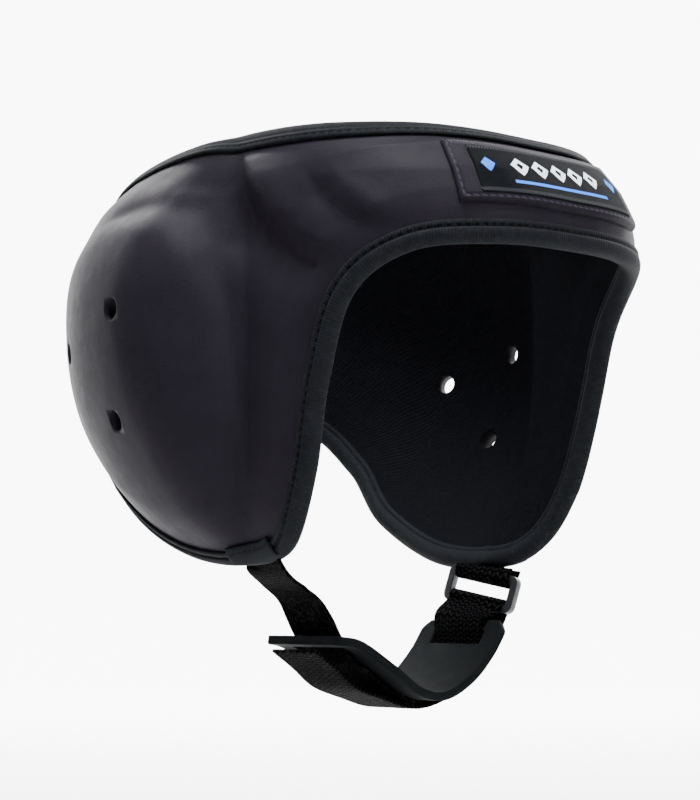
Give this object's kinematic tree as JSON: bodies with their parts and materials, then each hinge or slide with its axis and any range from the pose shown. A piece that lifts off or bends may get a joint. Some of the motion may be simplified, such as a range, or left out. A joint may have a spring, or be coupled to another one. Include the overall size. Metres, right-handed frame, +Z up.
{
  "type": "wrestling ear guard",
  "caption": "Soft padded wrestling headgear with an open crown, bulging vented ear cups, a forehead label patch, a webbing chin strap with a rubber pad and a rectangular buckle.",
  "frame": {"origin": "middle of the crown opening, at the height of the crown's edge, where the guard sits on the head", "axes": "-Y towards the front (the face opening), -X towards the wearer's right, +Z up through the crown opening"},
  "size_m": [0.2046, 0.2082, 0.203],
  "materials": {
    "shell": "matt knitted cloth over foam",
    "lining": "brushed knit",
    "binding": "ribbed tape",
    "label": "satin weave",
    "webbing": "ribbed webbing",
    "pad": "smooth rubber sheet",
    "buckle": "moulded"
  },
  "bodies": {
    "root": {"shell": "shell", "lining": "lining", "crown_binding": "binding", "face_binding": "binding", "label_patch": "shell", "label": "label", "strap_tab_right": "binding", "strap_tab_left": "binding", "strap_right": "webbing", "strap_loop_left": "webbing", "buckle": "buckle", "chin_strap": "webbing", "chin_pad": "pad"}
  },
  "joints": []
}
